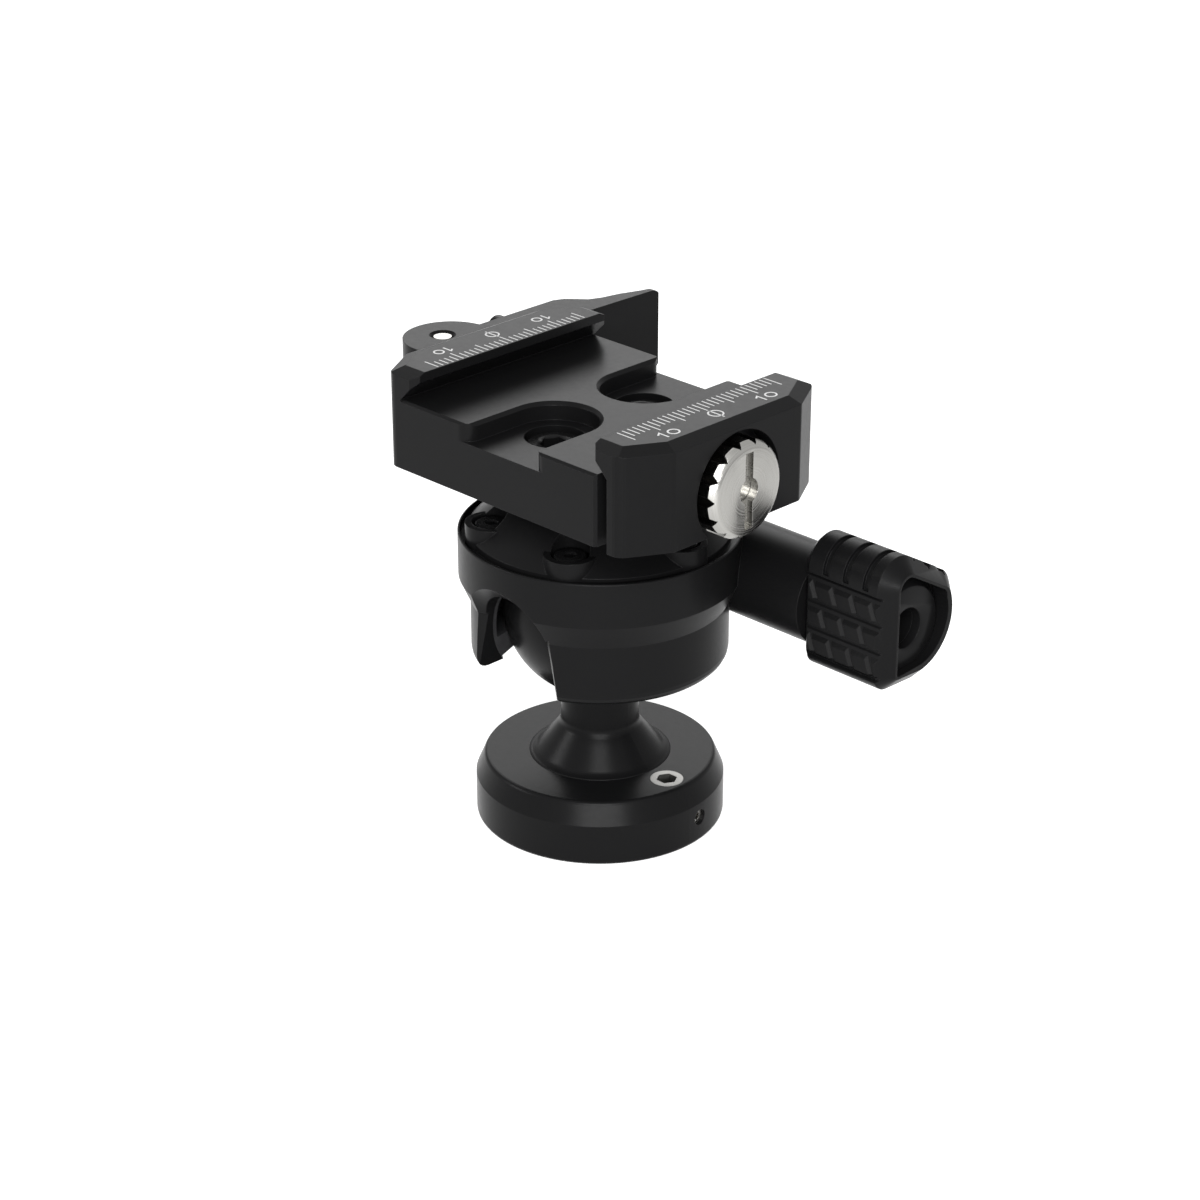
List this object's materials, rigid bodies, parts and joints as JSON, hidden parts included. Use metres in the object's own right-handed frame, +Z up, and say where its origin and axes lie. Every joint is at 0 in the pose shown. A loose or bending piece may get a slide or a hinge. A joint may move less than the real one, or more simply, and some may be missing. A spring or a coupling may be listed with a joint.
{
  "type": "tripod ball head",
  "caption": "Camera ball head: ball and stem on a round base plate, slotted housing with a lock knob on a side arm, and a lever-operated dovetail clamp.",
  "frame": {"origin": "centre of the base plate's bottom face, at the mouth of the tripod thread", "axes": "+Z up through the ball to the clamp, +Y along the clamp's dovetail slot, +X towards the moving jaw and the lock knob"},
  "size_m": [0.086, 0.0602, 0.0712],
  "materials": {
    "black_aluminium": "black anodised, fine bead-blasted",
    "black_steel": "blackened steel",
    "steel": "bright turned steel",
    "bronze": "turned bronze",
    "marking": "engraved scale filled with pale grey paint",
    "polymer": "dark sliding polymer"
  },
  "bodies": {
    "base": {"base_plate": "black_aluminium", "ball_stem": "black_aluminium", "thread_bush": "steel", "top_set_screw": "steel", "side_set_screw": "steel"},
    "pan": {"friction_pad": "polymer"},
    "tilt": {"pressure_cup": "bronze"},
    "head": {"housing": "black_aluminium", "ball_liner": "polymer", "cup_spring": "steel", "cap": "black_aluminium", "cap_screws": "black_steel", "far_cotter": "bronze", "cotter_spring": "steel", "lock_bush": "bronze", "bore_plug": "steel", "clamp_body": "black_aluminium", "clamp_screws": "black_steel", "locating_pins": "steel", "guide_pins": "steel", "jaw_springs": "steel", "cam_plate": "steel"},
    "cotter": {"near_cotter": "bronze"},
    "knob": {"lock_screw": "steel", "lock_knob": "black_aluminium", "knob_disc": "black_aluminium"},
    "rod": {"tie_rod": "steel"},
    "jaw": {"moving_jaw": "black_aluminium", "nut_washer": "steel"},
    "nut": {"adjusting_nut": "steel"},
    "lever": {"lever": "black_aluminium", "lever_pin": "steel"},
    "button": {"lock_button": "black_steel", "button_spring": "steel"}
  },
  "joints": [
    {"name": "pan_turn", "type": "hinge", "parent": "base", "child": "pan", "pos_m": [0, 0, 0.03495], "axis": [0, 0, 1], "continuous": true},
    {"name": "tilt_x", "type": "hinge", "parent": "pan", "child": "tilt", "pos_m": [0, 0, 0.03495], "axis": [1, 0, 0], "range_deg": [-25, 90]},
    {"name": "tilt_y", "type": "hinge", "parent": "tilt", "child": "head", "pos_m": [0, 0, 0.03495], "axis": [0, 1, 0], "range_deg": [-25, 25]},
    {"name": "cotter_slide", "type": "slide", "parent": "head", "child": "cotter", "axis": [1, 0, 0], "range_m": [0, 0.00075]},
    {"name": "knob_turn", "type": "hinge", "parent": "cotter", "child": "knob", "pos_m": [0.038, 0.0173, 0.03945], "axis": [1, 0, 0], "range_deg": [0, 270]},
    {"name": "rod_slide", "type": "slide", "parent": "head", "child": "rod", "axis": [1, 0, 0], "range_m": [0, 0.0018]},
    {"name": "lever_turn", "type": "hinge", "parent": "rod", "child": "lever", "pos_m": [-0.03395, 0, 0.06135], "axis": [0, 0, 1], "range_deg": [0, 120]},
    {"name": "button_push", "type": "slide", "parent": "lever", "child": "button", "axis": [1, 0, 0], "range_m": [0, 0.0012], "stiffness_N_per_m": 400},
    {"name": "jaw_slide", "type": "slide", "parent": "rod", "child": "jaw", "axis": [1, 0, 0], "range_m": [0, 0.0014]},
    {"name": "nut_turn", "type": "hinge", "parent": "jaw", "child": "nut", "pos_m": [0.027, 0, 0.06135], "axis": [1, 0, 0], "range_deg": [0, 720]}
  ],
  "couplings": [
    {"joint": "cotter_slide", "follows": "knob_turn", "m_per_rad": 0.000159},
    {"joint": "rod_slide", "follows": "lever_turn", "m_per_rad": 0.000859},
    {"joint": "jaw_slide", "follows": "nut_turn", "m_per_rad": 0.0001114}
  ]
}
